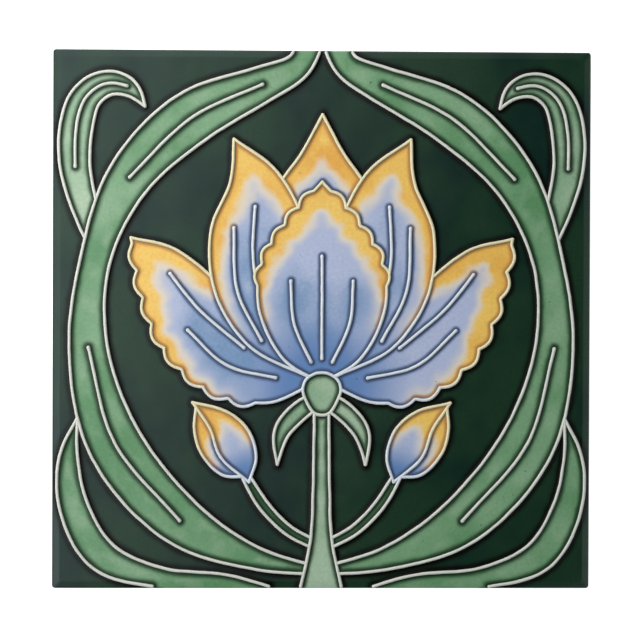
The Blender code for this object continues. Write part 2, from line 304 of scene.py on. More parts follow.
def border_between(shown, hidden, covers):
    """The place between two points of a line where it goes under a later shape, or off the half."""
    for halving in range(CROSSING_HALVINGS):
        middle = (shown + hidden) / 2
        if shows(middle, covers):
            shown = middle
        else:
            hidden = middle
    return shown


def visible_runs(line, closed, covers):
    """The stretches of a line that show, each with whether its first and its last end are free."""
    hidden = [i for i, point in enumerate(line) if not shows(point, covers)]
    if closed and hidden:
        line = line[hidden[0]:] + line[:hidden[0] + 1]
    runs = []
    run = []
    starts_free = True
    for i, point in enumerate(line):
        if shows(point, covers):
            if not run and i > 0:
                run.append(border_between(point, line[i - 1], covers))
                starts_free = False
            run.append(point)
        elif run:
            run.append(border_between(run[-1], point, covers))
            runs.append((run, starts_free, False))
            run = []
    if run:
        runs.append((run, starts_free, True))
    return runs


def on_both_halves(run, starts_free, ends_free):
    """The run and its mirror image. They are one line where the run reaches the upright, and a ring if it does so
    at both ends."""
    image = [Vector((-point.x, point.y)) for point in run]
    starts_there, ends_there = (abs(run[end].x) < UPRIGHT_SLACK for end in (0, -1))
    if starts_there and ends_there:
        ring = max(point.x for point in run) > UPRIGHT_SLACK
        return [(run + image[-2:0:-1], True, False, False) if ring else (run, False, starts_free, ends_free)]
    if starts_there:
        return [(image[:0:-1] + run, False, ends_free, ends_free)]
    if ends_there:
        return [(run + image[-2::-1], False, starts_free, starts_free)]
    return [(run, False, starts_free, ends_free), (image, False, starts_free, ends_free)]


def slip_lines(shapes):
    """Every line to trail: its points, whether it is a ring, and whether its two ends are free."""
    lines = []
    for level, (outline, closed, veins, glaze) in enumerate(shapes):
        covers = [Area(filled(later[0], later[1])) for later in shapes[level + 1:]]
        strokes = [(outline, closed)] + [(eased(smooth_curve(vein)), False) for vein in veins]
        for line, whole in strokes:
            if whole and all(shows(point, covers) for point in line):
                lines.append((line, True, False, False))
                lines.append(([Vector((-point.x, point.y)) for point in line], True, False, False))
                continue
            for run, starts_free, ends_free in visible_runs(line, whole, covers):
                if sum((there - here).length for here, there in zip(run, run[1:])) > SHORTEST_LINE:
                    lines += on_both_halves(run, starts_free, ends_free)
    return lines


def face_height(x, y):
    """How high the glazed face lies at a place, in metres. It falls a little on the rim, then rounds off."""
    inset = SIDE / 2 - max(abs(x), abs(y))
    on_slope = min(max(0.0, (RIM_WIDTH - inset) / (RIM_WIDTH - RIM_ROUND)), 1.0)
    on_round = min(max(0.0, 1 - inset / RIM_ROUND), 1.0)
    return FACE_HEIGHT - RIM_FALL * on_slope - RIM_ROUND * (1 - math.sqrt(1 - on_round ** 2))


def tree_of(points):
    """A search tree of points of the drawing, for the distance from any place to them."""
    tree = KDTree(len(points))
    for i, point in enumerate(points):
        tree.insert(point.to_3d(), i)
    tree.balance()
    return tree


def between(line, step=0.2):
    """Points along a line, no further apart than the step."""
    points = []
    for here, there in zip(line, line[1:]):
        cuts = max(1, math.ceil((there - here).length / step))
        points += [here.lerp(there, cut / cuts) for cut in range(cuts)]
    return points + [line[-1]]


def press_body():
    """The pressed clay: a rounded square, drawn up through its foot, sides and rim, and keyed behind."""
    foot = SIDE - 2 * FOOT_CHAMFER
    bpy.ops.object.select_all(action="DESELECT")
    bpy.ops.mesh.primitive_plane_add(size=foot)
    body = bpy.context.object
    body.name = "tile_body"
    bpy.ops.object.mode_set(mode="EDIT")
    bpy.ops.mesh.bevel(offset=CORNER_RADIUS, segments=CORNER_STEPS, affect="VERTICES")
    pick(body, "edges", lambda edge: edge.calc_length() > SIDE / 2)
    for cuts in SIDE_CUTS:
        bpy.ops.mesh.subdivide(number_cuts=cuts)
    bpy.ops.mesh.select_all(action="SELECT")
    width = foot
    height = 0.0
    for inset, level in rim_section():
        bpy.ops.mesh.extrude_region_move(TRANSFORM_OT_translate={"value": (0, 0, level - height)})
        scale = (SIDE - 2 * inset) / width
        bpy.ops.transform.resize(value=(scale, scale, 1))
        width = SIDE - 2 * inset
        height = level
    bpy.ops.mesh.select_all(action="SELECT")
    bpy.ops.mesh.normals_make_consistent(inside=False)
    bpy.ops.object.mode_set(mode="OBJECT")
    press_key(body)
    return body


def rim_section():
    """Pairs of inset and height up the side of the tile: chamfered foot, upright edge, rounded and sloping rim."""
    shoulder = FACE_HEIGHT - RIM_DROP
    section = [(0.0, FOOT_CHAMFER), (0.0, shoulder / 2)]
    for step in range(RIM_STEPS + 1):
        angle = math.radians(90 * step / RIM_STEPS)
        section.append((RIM_ROUND * (1 - math.cos(angle)), shoulder + RIM_ROUND * math.sin(angle)))
    for step in range(1, SLOPE_STEPS + 1):
        inset = RIM_ROUND + (RIM_WIDTH - RIM_ROUND) * step / SLOPE_STEPS
        section.append((inset, face_height(SIDE / 2 - inset, 0)))
    return section


def press_key(body):
    """Parallel grooves with drafted walls in the back, their edges softened."""
    bpy.ops.object.select_all(action="DESELECT")
    first = -(GROOVE_COUNT - 1) / 2 * GROOVE_PITCH
    bpy.ops.mesh.primitive_cube_add(size=1, location=(0, first, 0), scale=(GROOVE_LENGTH, GROOVE_WIDTH, 2 * GROOVE_DEPTH))
    key = bpy.context.object
    key.name = "back_key"
    bpy.ops.object.transform_apply(location=True, rotation=False, scale=True)
    bpy.ops.object.mode_set(mode="EDIT")
    for at_roof, change in ((True, -GROOVE_DRAFT), (False, GROOVE_DRAFT)):
        pick(key, "faces", lambda face: face.normal.z > 0.5 if at_roof else face.normal.z < -0.5)
        spread = ((GROOVE_LENGTH + change) / GROOVE_LENGTH, (GROOVE_WIDTH + change) / GROOVE_WIDTH, 1)
        bpy.ops.transform.resize(value=spread, center_override=(0, first, 0))
    bpy.ops.object.mode_set(mode="OBJECT")
    row = key.modifiers.new("row", "ARRAY")
    row.count = GROOVE_COUNT
    row.use_relative_offset = False
    row.use_constant_offset = True
    row.constant_offset_displace = (0, GROOVE_PITCH, 0)
    keep_modifier(key, "row")
    cut = body.modifiers.new("key", "BOOLEAN")
    cut.object = key
    cut.operation = "DIFFERENCE"
    keep_modifier(body, "key")
    bpy.data.objects.remove(key, do_unlink=True)
    bpy.ops.object.mode_set(mode="EDIT")

    def on_groove(edge):
        across = max(abs(vertex.co.y) for vertex in edge.verts)
        level = all(abs(vertex.co.z) < 1e-6 for vertex in edge.verts)
        return level and max(abs(v.co.x) for v in edge.verts) < GROOVE_LENGTH / 2 + 1e-4 and across < SIDE / 2 - 5 * MM

    pick(body, "edges", on_groove)
    bpy.ops.mesh.bevel(offset=GROOVE_SOFTNESS, segments=2, affect="EDGES")
    bpy.ops.object.mode_set(mode="OBJECT")


def lay_face(body, lines):
    """The face as a grid, finer along the slip lines."""
    hold(body)
    bpy.ops.object.mode_set(mode="EDIT")
    pick(body, "faces", lambda face: len(face.verts) > 8 and face.calc_center_median().z > FACE_HEIGHT - MM / 10)
    bpy.ops.mesh.delete(type="ONLY_FACE")
    ring = pick(body, "verts", lambda vertex: abs(vertex.co.z - FACE_HEIGHT) < MM / 1000)
    bpy.ops.mesh.fill_grid(span=ring // 4)

    def near_a_line(face):
        place = face.calc_center_median()
        if place.z < FACE_HEIGHT - RIM_DROP:
            return False
        return lines.find((place.x / MM, place.y / MM, 0))[2] < FINE_BAND

    pick(body, "faces", near_a_line)
    bpy.ops.mesh.subdivide(number_cuts=2)
    bpy.ops.mesh.select_all(action="SELECT")
    bpy.ops.mesh.normals_make_consistent(inside=False)
    bpy.ops.object.mode_set(mode="OBJECT")


def heart_of(outline):
    """Where the petal of an outline springs from."""
    return BUD_HEART if max(point.y for point in outline) < FLOWER_HEART.y else FLOWER_HEART


def glaze_face(body, shapes, lines):
    """Give each part of the face its glaze, let the glaze rise to the lines, and note how far they are."""
    areas = [(Area(filled(thinned(outline), closed)), glaze) for outline, closed, veins, glaze in shapes]
    petals = []
    for level, (outline, closed, veins, glaze) in enumerate(shapes):
        if glaze == PETAL:
            heart = heart_of(outline)
            reach = max((point - heart).length for point in outline)
            petals.append((level, tree_of(between(outline + outline[:1] if closed else outline)), heart, reach))
    mesh = body.data
    level_at = {}
    for face in mesh.polygons:
        place = face.center
        if face.normal.z < 0.1 or place.z < FACE_HEIGHT - RIM_DROP:
            face.material_index = BARE
            continue
        point = Vector((abs(place.x) / MM, place.y / MM))
        top = next((i for i in reversed(range(len(areas))) if areas[i][0].holds(point)), None)
        face.material_index = GROUND if top is None else areas[top][1]
        for vertex in face.vertices:
            if top is not None or vertex not in level_at:
                level_at[vertex] = top
    distance = mesh.attributes.new("line_distance", "FLOAT", "POINT")
    margin = mesh.attributes.new("petal_margin", "FLOAT", "POINT")
    length = mesh.attributes.new("petal_length", "FLOAT", "POINT")
    for vertex in mesh.vertices:
        x, y = vertex.co.x / MM, vertex.co.y / MM
        near = min(lines.find((x, y, 0))[2], FAR_FROM_LINES)
        distance.data[vertex.index].value = near
        place = Vector((abs(x), y))
        for level, tree, heart, reach in petals:
            if level_at.get(vertex.index) == level:
                margin.data[vertex.index].value = tree.find(place.to_3d())[2]
                length.data[vertex.index].value = (place - heart).length / reach
        if vertex.co.z > FACE_HEIGHT - RIM_DROP:
            rise = MENISCUS_HEIGHT * math.exp(-max(0.0, near - MENISCUS_START) / MENISCUS_REACH)
            sway = noise.noise(Vector((x, y, 0)) / 11) * 0.03 + noise.noise(Vector((x, y, 5)) / 3.5) * 0.012
            vertex.co.z += (rise + sway) * MM


def distance_to_chord(point, start, end):
    chord = end - start
    if chord.length == 0:
        return (point - start).length
    share = (point - start).dot(chord) / chord.length_squared
    return (point - start - chord * min(max(share, 0), 1)).length


def thinned(line):
    """The points that keep the line near its curve: the farthest one from the chord stays, and so on each side."""
    distances = [distance_to_chord(point, line[0], line[-1]) for point in line]
    farthest = distances.index(max(distances))
    if distances[farthest] < TRAIL_TOLERANCE:
        return [line[0], line[-1]]
    return thinned(line[:farthest + 1])[:-1] + thinned(line[farthest:])


def strokes_of(line, ring, starts_free, ends_free):
    """A line as the strokes that a hand trails: it stops at sharp corners, and each stroke has rounded free ends."""
    line = between(thinned(line + line[:1] if ring else line), TRAIL_STEP)
    corners = []
    for i in range(1, len(line) - 1):
        if (line[i] - line[i - 1]).angle(line[i + 1] - line[i]) > SHARP_TURN:
            corners.append(i)
    ends = [0] + corners + [len(line) - 1]
    closed = ring and not corners

    def blob_at(i, free):
        """How thick the stroke's end at a point is: 0 where it runs into another line and needs no tip."""
        if i in corners or ring:
            return CORNER_BLOB
        if max(abs(line[i].x), abs(line[i].y)) > SIDE / 2 / MM - 1:
            return 1.0
        return SLIP_BLOB if free else 0.0

    return [
        (line[start:end + 1], closed, blob_at(start, starts_free), blob_at(end, ends_free))
        for start, end in zip(ends, ends[1:])
    ]


def trail_slip(lines):
    """Every slip line, trailed point by point, with a wavering thickness and blobs where the hand starts and stops."""
    rng = random.Random(7)
    bpy.ops.object.select_all(action="DESELECT")
    bpy.ops.curve.primitive_nurbs_path_add()
    slip = bpy.context.object
    slip.name = "slip_lines"
    slip.data.resolution_u = 1
    bpy.ops.object.mode_set(mode="EDIT")
    bpy.ops.curve.select_all(action="SELECT")
    bpy.ops.curve.delete(type="VERT")
    thickness = []
    rings = []
    for line in lines:
        for stroke, closed, first, last in strokes_of(*line):
            if closed:
                stroke = stroke[:-1]
            trail = [(point, 1.0) for point in stroke]
            if not closed and first:
                trail = rounded_end(stroke[1], stroke[0], first)[::-1] + trail[1:]
            if not closed and last:
                trail = trail[:-1] + rounded_end(stroke[-2], stroke[-1], last)
            bpy.ops.curve.select_all(action="DESELECT")
            phase = rng.uniform(0, 100)
            for point, scale in trail:
                x, y = (point + wandering(point)) * MM
                waver = noise.noise((point / 6).to_3d() + Vector((0, 0, phase)))
                grip = noise.noise((point / 1.8).to_3d() + Vector((0, 0, phase)))
                scale *= 1 + SLIP_WAVER * waver + SLIP_GRIP * grip
                thickness.append(scale)
                bpy.ops.curve.vertex_add(location=(x, y, face_height(x, y) + SLIP_HEIGHT - SLIP_RADIUS * max(1.0, scale)))
            rings.append(closed)
    bpy.ops.curve.select_all(action="SELECT")
    bpy.ops.curve.spline_type_set(type="POLY")
    bpy.ops.object.mode_set(mode="OBJECT")
    thickness = iter(thickness)
    for spline, closed in zip(slip.data.splines, rings):
        spline.use_cyclic_u = closed
        for point in spline.points:
            point.radius = next(thickness)
    slip.data.bevel_depth = SLIP_RADIUS
    slip.data.bevel_resolution = SLIP_SIDES
    slip.data.use_fill_caps = True
    bpy.ops.object.convert(target="MESH")
    bpy.ops.object.mode_set(mode="EDIT")
    bpy.ops.mesh.select_all(action="SELECT")
    bpy.ops.mesh.remove_doubles(threshold=MM / 1000)
    bpy.ops.mesh.normals_make_consistent(inside=False)
    bpy.ops.object.mode_set(mode="OBJECT")
    bpy.ops.object.shade_smooth_by_angle(angle=math.radians(60))
    return slip


def wandering(point):
    """How far the hand strays from the drawing at a point."""
    place = (point / 4).to_3d()
    return Vector((noise.noise(place), noise.noise(place + Vector((0, 0, 30))))) * SLIP_WANDER


def rounded_end(inner, end, blob):
    """The last points of a stroke: a slight blob, closed off by a round tip."""
    outwards = (end - inner).normalized()
    radius = SLIP_RADIUS / MM
    tip = [(end - outwards * radius * 1.8, 1.0), (end - outwards * radius * 0.9, (1 + blob) / 2)]
    if (end - inner).length < radius * 1.9:
        tip = []
    tip.append((end, blob))
    for step in range(1, 5):
        angle = math.radians(90 * step / 4.2)
        tip.append((end + outwards * radius * math.sin(angle), blob * math.cos(angle)))
    return tip


# Colours as linear red, green and blue
BOTTLE_GREEN = (0.0027, 0.0116, 0.0085)
BOTTLE_GREEN_THIN = (0.0068, 0.0212, 0.0106)
BOTTLE_GREEN_POOL = (0.0018, 0.0014, 0.0010)
LEAF_GREEN = (0.112, 0.204, 0.114)
LEAF_GREEN_THIN = (0.166, 0.246, 0.160)
LEAF_GREEN_DEEP = (0.064, 0.152, 0.070)
LEAF_GREEN_POOL = (0.008, 0.022, 0.009)
TIP_GREEN = (0.222, 0.292, 0.210)
TIP_GREEN_DEEP = (0.136, 0.222, 0.138)
OCHRE = (0.505, 0.318, 0.076)
OCHRE_DEEP = (0.455, 0.228, 0.042)
OCHRE_POOL = (0.255, 0.122, 0.036)
BEIGE = (0.430, 0.375, 0.320)
LAVENDER = (0.255, 0.280, 0.390)
GREY_BLUE = (0.110, 0.172, 0.285)
DEEP_BLUE = (0.068, 0.128, 0.268)
BLUE_POOL = (0.032, 0.046, 0.094)
SLIP_WHITE = (0.385, 0.380, 0.345)
SLIP_CREAM = (0.460, 0.410, 0.260)
SLIP_BLUISH = (0.390, 0.410, 0.450)
SLIP_SHADOW = (0.120, 0.120, 0.095)
SPECK = (0.020, 0.035, 0.018)
BISCUIT = (0.350, 0.272, 0.186)
BISCUIT_STAIN = (0.272, 0.200, 0.132)
GLAZE_EDGE = (0.060, 0.035, 0.012)

GLAZE_ROUGHNESS = 0.16
GLAZE_COAT = 0.95
POOL_COAT = 0.50

# The light: how bright the room is at its brightest, and the lamp
ROOM_LIGHT = 2.5
LAMP_WATTS = 2.2
SLIP_ROUGHNESS = 0.52
BISCUIT_ROUGHNESS = 0.88


class Sheet:
    """A node tree under way, for a material or for a group that several materials place."""

    def __init__(self, tree):
        self.tree = tree

    def put(self, kind, inputs=None, **settings):
        """Place a node, set it, and give its inputs values or links from earlier nodes."""
        node = self.tree.nodes.new(kind)
        for name, value in settings.items():
            setattr(node, name, value)
        for name, value in (inputs or {}).items():
            socket = node.inputs[name]
            if isinstance(value, bpy.types.NodeSocket):
                self.tree.links.new(value, socket)
            elif socket.type == "RGBA":
                socket.default_value = (*value[:3], 1.0)
            else:
                socket.default_value = value
        return node

    def place(self):
        return self.put("ShaderNodeTexCoord").outputs["Object"]

    def cloud(self, size, detail=2.0, vector=None):
        """Soft noise from 0 to 1 whose patches are about the size given, in metres."""
        return self.put(
            "ShaderNodeTexNoise", {"Vector": vector or self.place(), "Scale": 1 / size, "Detail": detail}
        ).outputs["Fac"]

    def note(self, name):
        """The value that the mesh holds under a name."""
        return self.put("ShaderNodeAttribute", attribute_name=name).outputs["Fac"]

    def math(self, operation, first, second=0.0, third=0.0):
        return self.put("ShaderNodeMath", {0: first, 1: second, 2: third}, operation=operation).outputs[0]

    def fade(self, value, start, end):
        """0 at the start, 1 at the end, and smooth between. The start may be the higher one."""
        if start > end:
            return self.math("SUBTRACT", 1.0, self.fade(value, end, start))
        return self.put(
            "ShaderNodeMapRange", {"Value": value, "From Min": start, "From Max": end},
            interpolation_type="SMOOTHSTEP",
        ).outputs["Result"]

    def blend(self, share, first, second, way="MIX"):
        return self.put(
            "ShaderNodeMix", {0: share, 6: first, 7: second}, data_type="RGBA", blend_type=way, clamp_factor=True
        ).outputs[2]

    def group(self, group, inputs):
        node = self.put("ShaderNodeGroup", node_tree=group)
        for name, value in inputs.items():
            socket = node.inputs[name]
            if isinstance(value, bpy.types.NodeSocket):
                self.tree.links.new(value, socket)
            elif socket.type == "RGBA":
                socket.default_value = (*value[:3], 1.0)
            else:
                socket.default_value = value
        return node


def new_group(name, inputs, outputs):
    """An empty group with its sockets, its sheet, its incoming values, and its outgoing node."""
    tree = bpy.data.node_groups.new(name, "ShaderNodeTree")
    kinds = {"colour": "NodeSocketColor", "number": "NodeSocketFloat"}
    for socket, kind in inputs.items():
        tree.interface.new_socket(name=socket, in_out="INPUT", socket_type=kinds[kind])
    for socket, kind in outputs.items():
        tree.interface.new_socket(name=socket, in_out="OUTPUT", socket_type=kinds[kind])
    sheet = Sheet(tree)
    return tree, sheet, sheet.put("NodeGroupInput").outputs, sheet.put("NodeGroupOutput").inputs


def patchy_glaze_group():
    """Brushed glaze: thick and thin clouds, with faint milky bloom."""
    tree, sheet, given, result = new_group(
        "patchy_glaze", {"Thick": "colour", "Thin": "colour", "Bloom": "colour", "Bloom Share": "number"},
        {"Colour": "colour"},
    )
    clouds = sheet.fade(sheet.cloud(22 * MM, 2.0), 0.34, 0.66)
    colour = sheet.blend(clouds, given["Thick"], given["Thin"])
    bloom = sheet.fade(sheet.cloud(8 * MM, 3.0), 0.42, 0.70)
    bloom = sheet.math("MULTIPLY", bloom, given["Bloom Share"])
    bloom = sheet.math("MULTIPLY", bloom, sheet.fade(sheet.note("line_distance"), 0.9, 3.0))
    colour = sheet.blend(bloom, colour, given["Bloom"])
    grain = sheet.math("MULTIPLY_ADD", sheet.cloud(0.9 * MM, 3.0), 0.36, 0.82)
    grain_colour = sheet.put("ShaderNodeCombineColor", {0: grain, 1: grain, 2: grain}).outputs[0]
    tree.links.new(sheet.blend(1.0, colour, grain_colour, "MULTIPLY"), result["Colour"])
    return tree


def pooled_at_lines_group():
    """Glaze that pools along the slip lines, dark and with a soft, uneven border."""
    tree, sheet, given, result = new_group(
        "pooled_at_lines", {"Colour": "colour", "Pool": "colour", "Reach": "number"},
        {"Colour": "colour", "Gloss": "number"},
    )
    sway = sheet.math("MULTIPLY_ADD", sheet.cloud(4 * MM, 2.0), 0.7, 0.65)
    reach = sheet.math("MULTIPLY", given["Reach"], sway)
    away = sheet.math("MAXIMUM", sheet.math("SUBTRACT", sheet.note("line_distance"), SLIP_RADIUS / MM), 0.0)
    share = sheet.math("DIVIDE", away, reach)
    share = sheet.math("EXPONENT", sheet.math("MULTIPLY", sheet.math("POWER", share, 3.0), -1.0))
    tree.links.new(sheet.blend(share, given["Colour"], given["Pool"]), result["Colour"])
    tree.links.new(sheet.math("MULTIPLY_ADD", share, POOL_COAT - GLAZE_COAT, GLAZE_COAT), result["Gloss"])
    return tree


def kiln_specks_group():
    """Small dark specks of iron that came up through the glaze, each of its own size."""
    tree, sheet, given, result = new_group(
        "kiln_specks", {"Colour": "colour", "Speck": "colour", "Share": "number"}, {"Colour": "colour"}
    )
    cells = sheet.put("ShaderNodeTexVoronoi", {"Vector": sheet.place(), "Scale": 1 / (3.2 * MM)})
    chance = sheet.put("ShaderNodeSeparateColor", {0: cells.outputs["Color"]}).outputs
    size = sheet.math("MULTIPLY_ADD", chance[1], 0.09, 0.05)
    inside = sheet.math("SUBTRACT", 1.0, sheet.math("DIVIDE", cells.outputs["Distance"], size))
    there = sheet.math("LESS_THAN", chance[0], given["Share"])
    speck = sheet.math("MULTIPLY", sheet.fade(inside, 0.0, 0.6), there)
    tree.links.new(sheet.blend(sheet.math("MULTIPLY", speck, 0.6), given["Colour"], given["Speck"]), result["Colour"])
    return tree


def glaze_skin_group():
    """The skin of a fired glaze: slow waves, and a gloss that varies a little."""
    tree, sheet, given, result = new_group(
        "glaze_skin", {"Roughness": "number"}, {"Roughness": "number", "Height": "number"}
    )
    change = sheet.math("MULTIPLY_ADD", sheet.cloud(9 * MM, 3.0), 0.10, -0.05)
    tree.links.new(sheet.math("ADD", given["Roughness"], change), result["Roughness"])
    tree.links.new(sheet.cloud(2.6 * MM, 1.0), result["Height"])
    return tree


def new_material(name):
    """A material with a bare Principled BSDF, and the sheet to draw on."""
    material = bpy.data.materials.new(name)
    material.use_nodes = True
    shader = material.node_tree.nodes["Principled BSDF"]
    return material, Sheet(material.node_tree), shader


def finish_glaze(sheet, shader, colour, pool, reach, groups):
    """Wire a glaze to the shader: its pools along the lines, the skin, and a clear gloss that the pools lack."""
    pooled = sheet.group(groups["pooled"], {"Colour": colour, "Pool": pool, "Reach": reach}).outputs
    skin = sheet.group(groups["skin"], {"Roughness": GLAZE_ROUGHNESS}).outputs
    wave = sheet.put("ShaderNodeBump", {"Height": skin["Height"], "Strength": 0.35, "Distance": 0.03 * MM}).outputs[0]
    shader.inputs["IOR"].default_value = 1.5
    shader.inputs["Specular IOR Level"].default_value = 0.0
    shader.inputs["Coat IOR"].default_value = 1.5
    shader.inputs["Coat Roughness"].default_value = 0.10
    links = {"Base Color": pooled["Colour"], "Roughness": skin["Roughness"], "Coat Weight": pooled["Gloss"], "Normal": wave}
    for socket, value in links.items():
        sheet.tree.links.new(value, shader.inputs[socket])


def brushed_glaze(name, groups, thick, thin, bloom, bloom_share, pool, reach, specks):
    material, sheet, shader = new_material(name)
    colour = sheet.group(
        groups["patchy"], {"Thick": thick, "Thin": thin, "Bloom": bloom, "Bloom Share": bloom_share}
    ).outputs[0]
    colour = sheet.group(groups["specks"], {"Colour": colour, "Speck": SPECK, "Share": specks}).outputs[0]
    finish_glaze(sheet, shader, colour, pool, reach, groups)
    return material


def petal_glaze(groups):
    """Ochre round the margins and tips, drawn softly through beige and lavender into blue."""
    material, sheet, shader = new_material("petal_glaze")
    margin = sheet.note("petal_margin")
    along = sheet.note("petal_length")
    sway = sheet.math("MULTIPLY_ADD", sheet.cloud(8 * MM, 5.0), 6.4, -3.2)
    band = sheet.math("MULTIPLY", sheet.fade(along, 0.38, 0.80), 4.6)
    tip = sheet.math("MULTIPLY", sheet.fade(along, 0.82, 0.97), 5.0)
    band = sheet.math("ADD", band, tip)
    inwards = sheet.math("SUBTRACT", sheet.math("ADD", margin, sway), band)
    blue = sheet.group(
        groups["patchy"], {"Thick": GREY_BLUE, "Thin": LAVENDER, "Bloom": LAVENDER, "Bloom Share": 0.6}
    ).outputs[0]
    pale = sheet.math("MULTIPLY", sheet.fade(inwards, 8.0, 2.5), 0.6)
    blue = sheet.blend(pale, blue, LAVENDER)
    blue = sheet.blend(sheet.fade(along, 0.42, 0.12), blue, DEEP_BLUE)
    near = sheet.fade(sheet.note("line_distance"), 1.9, 0.6)
    blue = sheet.blend(sheet.math("MULTIPLY", near, 0.40), blue, DEEP_BLUE)
    ochre = sheet.group(
        groups["patchy"], {"Thick": OCHRE_DEEP, "Thin": OCHRE, "Bloom": OCHRE, "Bloom Share": 1.0}
    ).outputs[0]
    ochre = sheet.blend(sheet.math("MULTIPLY", near, 0.6), ochre, OCHRE_DEEP)
    blushed = sheet.fade(along, 0.30, 0.48)
    beige = sheet.math("MULTIPLY", sheet.fade(inwards, 4.4, 0.4), blushed)
    colour = sheet.blend(beige, blue, BEIGE)
    warm = sheet.math("MULTIPLY", sheet.fade(inwards, 1.6, -1.2), blushed)
    colour = sheet.blend(warm, colour, ochre)
    warm_pool = sheet.math("MULTIPLY", sheet.fade(inwards, 3.2, -0.8), blushed)
    pool = sheet.blend(warm_pool, BLUE_POOL, OCHRE_POOL)
    colour = sheet.group(groups["specks"], {"Colour": colour, "Speck": pool, "Share": 0.20}).outputs[0]
    finish_glaze(sheet, shader, colour, pool, 0.80, groups)
    return material


def slip_material():
    """Off-white trailed slip: cream along ochre, bluish along blue, and painted shade that darkens its foot."""
    material, sheet, shader = new_material("trailed_slip")
    colour = sheet.blend(sheet.note("beside_petal"), SLIP_WHITE, SLIP_BLUISH)
    colour = sheet.blend(sheet.note("beside_ochre"), colour, SLIP_CREAM)
    mottle = sheet.math("MULTIPLY_ADD", sheet.cloud(1.6 * MM, 3.0), 0.30, 0.84)
    mottle = sheet.put("ShaderNodeCombineColor", {0: mottle, 1: mottle, 2: mottle}).outputs[0]
    colour = sheet.blend(1.0, colour, mottle, "MULTIPLY")
    # Painted shade: the low flanks of the line, near the glaze, are blended towards SLIP_SHADOW by how proud they
    # stand.
    foot = sheet.math("ADD", sheet.note("proud"), sheet.math("MULTIPLY_ADD", sheet.cloud(1.2 * MM, 2.0), 0.3, -0.15))
    colour = sheet.blend(sheet.fade(foot, 0.62, 0.25), colour, SLIP_SHADOW)
    grain = sheet.put(
        "ShaderNodeBump", {"Height": sheet.cloud(0.5 * MM, 2.0), "Strength": 0.4, "Distance": 0.03 * MM}
    ).outputs[0]
    shader.inputs["Roughness"].default_value = SLIP_ROUGHNESS
    sheet.tree.links.new(colour, shader.inputs["Base Color"])
    sheet.tree.links.new(grain, shader.inputs["Normal"])
    return material


def biscuit_material():
    """Bare fired clay, with the glaze that ran over the rim ending in a thin brown line on the sides."""
    material, sheet, shader = new_material("biscuit")
    place = sheet.place()
    height = sheet.put("ShaderNodeSeparateXYZ", {0: place}).outputs["Z"]
    run = sheet.math("MULTIPLY_ADD", sheet.cloud(16 * MM, 1.0), 2.0 * MM, -1.0 * MM)
    drips = sheet.math("MULTIPLY", sheet.fade(sheet.cloud(7 * MM, 0.0), 0.58, 0.80), 1.1 * MM)
    above = sheet.math("SUBTRACT", sheet.math("ADD", sheet.math("ADD", height, run), drips), 7.3 * MM)
    clay = sheet.blend(sheet.fade(sheet.cloud(12 * MM, 5.0), 0.42, 0.75), BISCUIT, BISCUIT_STAIN)
    grog = sheet.fade(sheet.cloud(0.45 * MM, 2.0), 0.62, 0.74)
    clay = sheet.blend(sheet.math("MULTIPLY", grog, 0.35), clay, BISCUIT_STAIN)
    colour = sheet.blend(sheet.fade(above, -0.30 * MM, -0.12 * MM), clay, GLAZE_EDGE)
    glazed = sheet.fade(above, -0.10 * MM, 0.25 * MM)
    colour = sheet.blend(glazed, colour, BOTTLE_GREEN)
    gloss = sheet.put(
        "ShaderNodeMapRange", {"Value": glazed, "To Min": BISCUIT_ROUGHNESS, "To Max": GLAZE_ROUGHNESS}
    ).outputs["Result"]
    bare = sheet.math("SUBTRACT", 1.0, glazed)
    height = sheet.math("MULTIPLY", sheet.cloud(0.35 * MM, 4.0), bare)
    tooth = sheet.put("ShaderNodeBump", {"Height": height, "Strength": 0.6, "Distance": 0.06 * MM}).outputs[0]
    for value, socket in ((colour, "Base Color"), (gloss, "Roughness"), (tooth, "Normal")):
        sheet.tree.links.new(value, shader.inputs[socket])
    return material


def note_slip(slip, shapes):
    """Note on the slip where it borders petals and their ochre, and how proud of the glaze each point is."""
    borders = []
    for outline, closed, veins, glaze in shapes:
        if glaze == PETAL:
            heart = heart_of(outline)
            reach = max((point - heart).length for point in outline)
            line = between(outline + outline[:1] if closed else outline)
            borders += [(point, (point - heart).length / reach) for point in line]
    tree = tree_of([point for point, share in borders])
    areas = [Area(filled(thinned(outline), closed)) for outline, closed, veins, glaze in shapes if glaze == PETAL]
    mesh = slip.data
    petal_note = mesh.attributes.new("beside_petal", "FLOAT", "POINT")
    ochre_note = mesh.attributes.new("beside_ochre", "FLOAT", "POINT")
    proud = mesh.attributes.new("proud", "FLOAT", "POINT")
    for vertex in mesh.vertices:
        x, y, z = vertex.co
        place = Vector((abs(x), y)) / MM
        found, index, distance = tree.find(place.to_3d())
        on_border = distance < 0.8
        within = not on_border and any(area.holds(place) for area in areas)
        petal_note.data[vertex.index].value = 1.0 if on_border or within else 0.0
        share = borders[index][1]
        ochre_note.data[vertex.index].value = min(max((share - 0.42) / 0.2, 0.0), 1.0) if on_border else 0.0
        proud.data[vertex.index].value = (z - face_height(x, y)) / SLIP_HEIGHT


